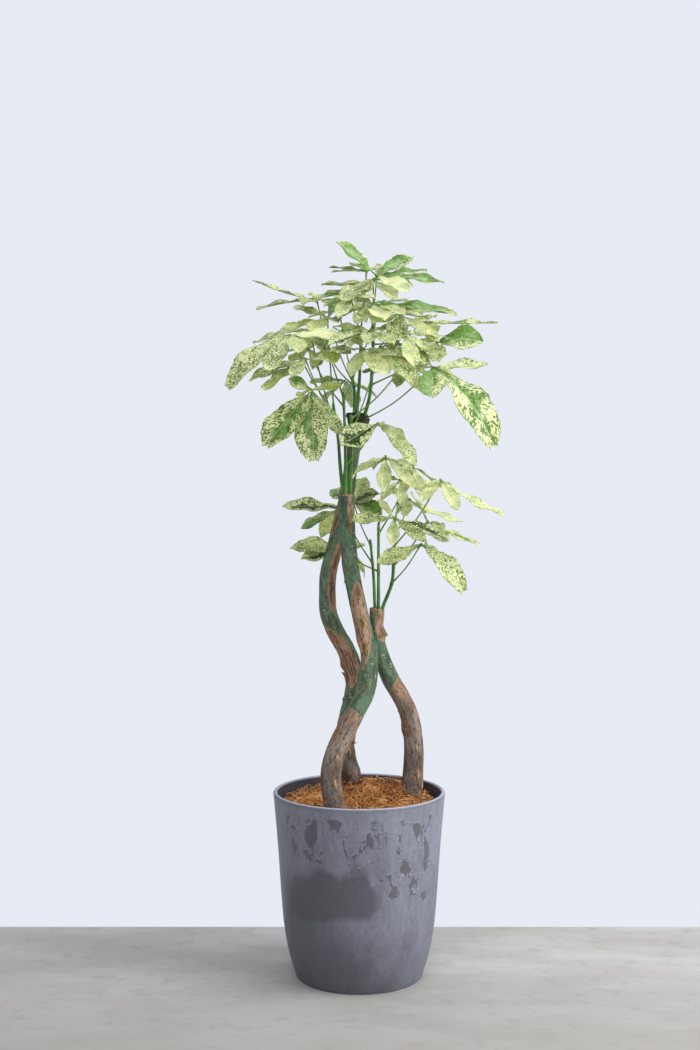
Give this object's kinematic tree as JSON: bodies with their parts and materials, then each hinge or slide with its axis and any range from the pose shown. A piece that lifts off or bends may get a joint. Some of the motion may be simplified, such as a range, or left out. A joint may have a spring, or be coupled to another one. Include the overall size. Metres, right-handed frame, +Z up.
{
  "type": "potted money tree",
  "caption": "Money tree with loosely braided trunks and cream and green speckled palmate leaves, standing in coir mulch in a tapered round planter.",
  "frame": {"origin": "centre of the planter's base on the floor", "axes": "+Z up, +X to the right of the front view, +Y away from the viewer"},
  "size_m": [0.4685, 0.4004, 1.2715],
  "materials": {
    "planter": "mineral-filled resin in slate grey with a chalky bloom and darker drips",
    "soil": "dark crumbly potting mix",
    "coir": "loose tangled coconut fibre",
    "bark": "green and grey bark with brown peeling patches",
    "shoot": "smooth green living stem",
    "leaf": "satin cream-green blade with dense dark green speckles"
  },
  "bodies": {
    "root": {"pot": "planter", "potting_soil": "soil", "coir_mulch": "coir", "trunk_front": "bark", "trunk_left": "bark", "trunk_right": "bark", "shoot_front_1": "shoot", "shoot_front_2": "shoot", "shoot_front_3": "shoot", "shoot_left_1": "shoot", "shoot_left_2": "shoot", "shoot_left_3": "shoot", "shoot_right_1": "shoot", "shoot_right_2": "shoot", "shoot_right_3": "shoot", "leaf_top_front": "leaf", "leaf_top_back": "leaf", "leaf_top_low": "leaf", "leaf_upper_mid": "leaf", "leaf_far_left": "leaf", "leaf_left_green": "leaf", "leaf_left_front": "leaf", "leaf_left_low": "leaf", "leaf_hanging": "leaf", "leaf_low_front": "leaf", "leaf_right_big": "leaf", "leaf_right_green": "leaf", "leaf_right_far": "leaf", "leaf_centre_front": "leaf", "leaf_centre_right": "leaf", "leaf_centre_low": "leaf", "leaf_centre_dark": "leaf", "leaf_right_pale": "leaf", "leaf_left_olive": "leaf", "leaf_left_centre": "leaf", "leaf_mid_top": "leaf", "leaf_mid_right": "leaf", "leaf_mid_back": "leaf", "leaf_mid_left": "leaf", "leaf_back_left": "leaf", "leaf_back_right": "leaf", "leaf_back_top": "leaf", "leaf_back_low": "leaf", "leaf_low_right": "leaf", "leaf_low_far": "leaf", "leaf_low_top": "leaf", "leaf_low_back": "leaf", "leaf_low_mid": "leaf", "leaf_low_centre": "leaf", "leaf_behind_left": "leaf", "leaf_behind_right": "leaf", "leaf_behind_low": "leaf", "leaf_low_inner": "leaf", "leaf_low_pale": "leaf"}
  },
  "joints": []
}
